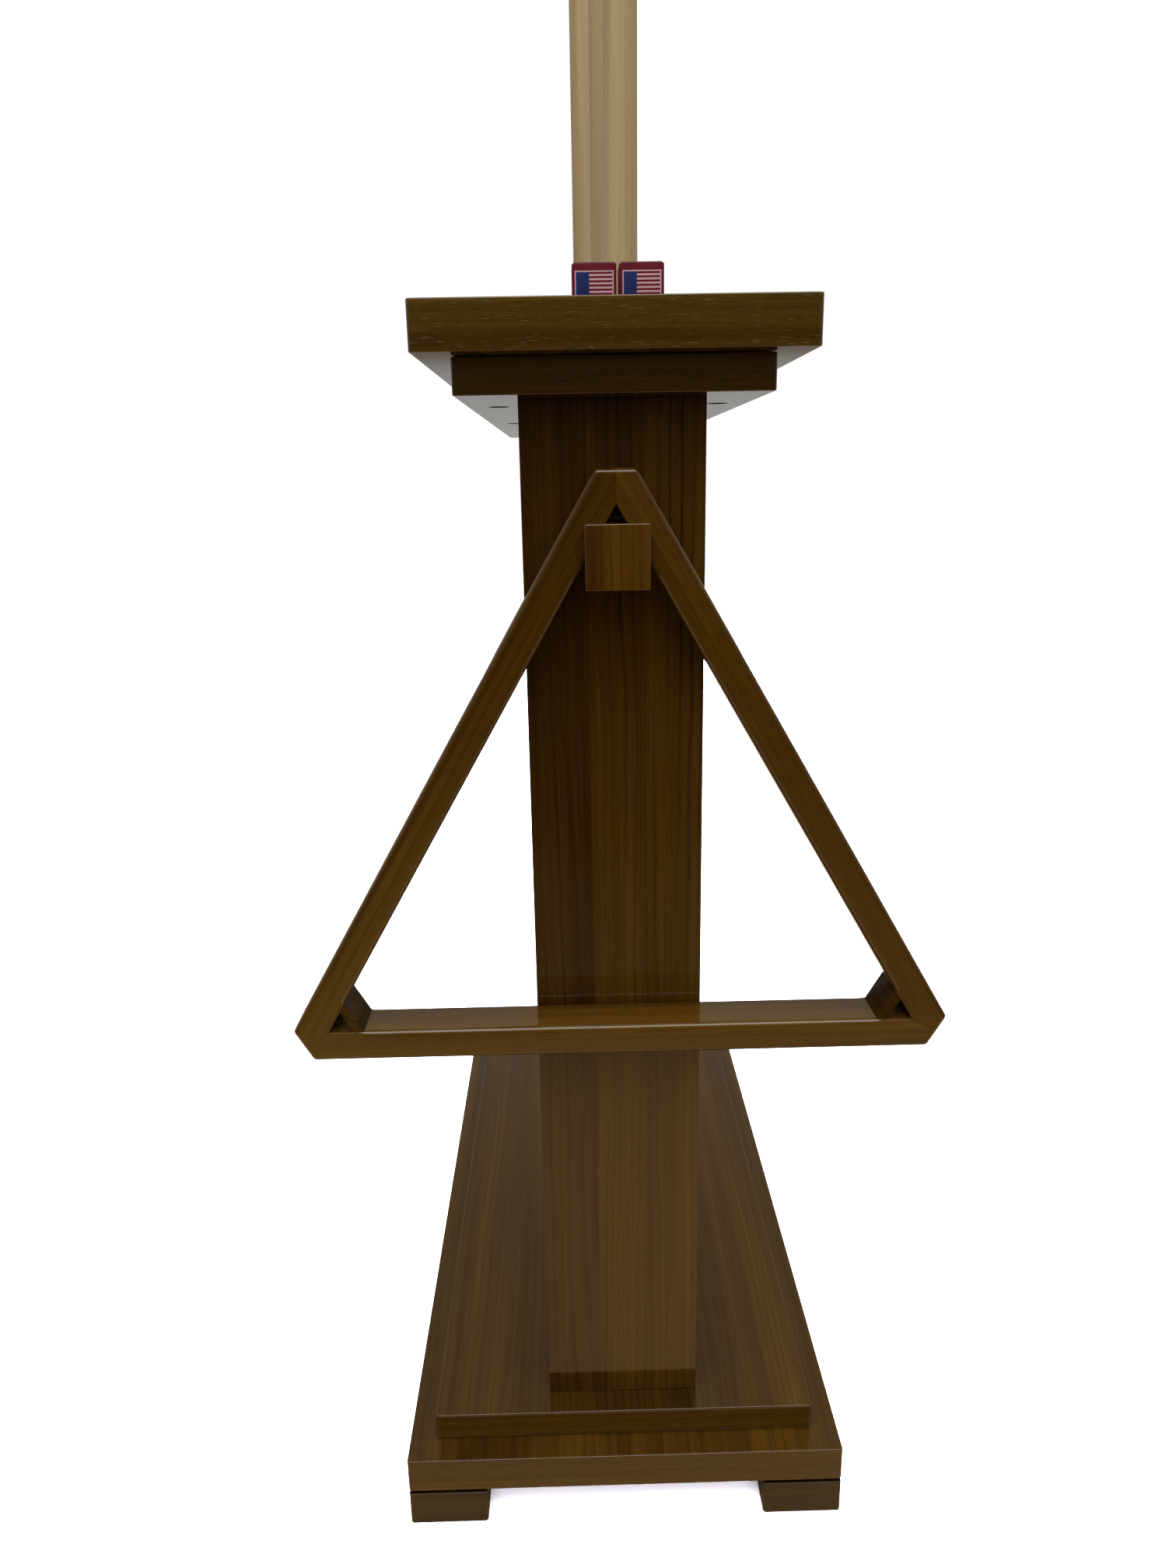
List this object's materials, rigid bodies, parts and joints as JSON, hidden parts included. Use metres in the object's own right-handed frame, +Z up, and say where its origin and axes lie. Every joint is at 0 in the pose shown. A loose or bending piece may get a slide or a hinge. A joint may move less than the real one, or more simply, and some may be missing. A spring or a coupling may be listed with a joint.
{
  "type": "billiard cue stand",
  "caption": "Floor-standing walnut stand that holds cues upright in a row, with a ball triangle hung on a peg and chalk on top.",
  "frame": {"origin": "on the floor under the middle of the stand", "axes": "+Z up, X across the stand, Y along it; the end with the ball triangle faces -Y"},
  "size_m": [0.367, 0.5922, 1.5089],
  "materials": {
    "walnut": "satin lacquered dark walnut, straight grain",
    "triangle_wood": "satin lacquered solid walnut",
    "maple": "satin lacquered hard maple",
    "stained_wood": "dark stained, gloss lacquered",
    "beech": "plain turned dowel",
    "rubber": "black",
    "steel": "plain zinc plated",
    "ferrule": "white",
    "tip_leather": "chalked leather",
    "chalk": "dry pressed chalk",
    "wrapper": "printed burgundy paper"
  },
  "bodies": {
    "stand": {"plinth_board": "walnut", "step_board": "walnut", "front_post": "walnut", "rear_post": "walnut", "under_top_board": "walnut", "top_board": "walnut", "peg_dowel": "beech", "peg_head": "walnut", "foot_front_left": "walnut", "foot_front_right": "walnut", "foot_rear_left": "walnut", "foot_rear_right": "walnut", "foot_spacer_front_left": "rubber", "foot_spacer_front_right": "rubber", "foot_spacer_rear_left": "rubber", "foot_spacer_rear_right": "rubber", "foot_screw_1": "steel", "foot_screw_2": "steel", "foot_screw_3": "steel", "foot_screw_4": "steel", "post_lower_screw_1": "steel", "post_lower_screw_2": "steel", "post_lower_screw_3": "steel", "post_lower_screw_4": "steel", "post_upper_screw_1": "steel", "post_upper_screw_2": "steel", "post_upper_screw_3": "steel", "post_upper_screw_4": "steel", "top_board_screw_1": "steel", "top_board_screw_2": "steel", "top_board_screw_3": "steel", "top_board_screw_4": "steel", "top_board_screw_5": "steel", "top_board_screw_6": "steel"},
    "ball_triangle": {"triangle_bar_bottom": "triangle_wood", "triangle_bar_left": "triangle_wood", "triangle_bar_right": "triangle_wood", "triangle_strip_top": "triangle_wood", "triangle_strip_left": "triangle_wood", "triangle_strip_right": "triangle_wood"},
    "cue_1": {"cue_1_bumper": "rubber", "cue_1_butt": "stained_wood", "cue_1_shaft": "maple", "cue_1_ferrule": "ferrule", "cue_1_tip": "tip_leather"},
    "cue_2": {"cue_2_bumper": "rubber", "cue_2_butt": "stained_wood", "cue_2_shaft": "maple", "cue_2_ferrule": "ferrule", "cue_2_tip": "tip_leather"},
    "cue_3": {"cue_3_bumper": "rubber", "cue_3_butt": "stained_wood", "cue_3_shaft": "maple", "cue_3_ferrule": "ferrule", "cue_3_tip": "tip_leather"},
    "chalk_1": {"chalk_1_block": "chalk", "chalk_1_wrapper": "wrapper"},
    "chalk_2": {"chalk_2_block": "chalk", "chalk_2_wrapper": "wrapper"}
  },
  "joints": [
    {"name": "triangle_swing", "type": "hinge", "parent": "stand", "child": "ball_triangle", "pos_m": [0, -0.26705, 0.6112], "axis": [0, 1, 0], "range_deg": [-30, 30]},
    {"name": "cue_1_lift", "type": "slide", "parent": "stand", "child": "cue_1", "axis": [0, 0, 1], "range_m": [0, 0.7]},
    {"name": "cue_2_lift", "type": "slide", "parent": "stand", "child": "cue_2", "axis": [0, 0, 1], "range_m": [0, 0.7]},
    {"name": "cue_3_lift", "type": "slide", "parent": "stand", "child": "cue_3", "axis": [0, 0, 1], "range_m": [0, 0.7]},
    {"name": "chalk_1_lift", "type": "slide", "parent": "stand", "child": "chalk_1", "axis": [0, 0, 1], "range_m": [0, 0.06]},
    {"name": "chalk_2_lift", "type": "slide", "parent": "stand", "child": "chalk_2", "axis": [0, 0, 1], "range_m": [0, 0.06]}
  ]
}
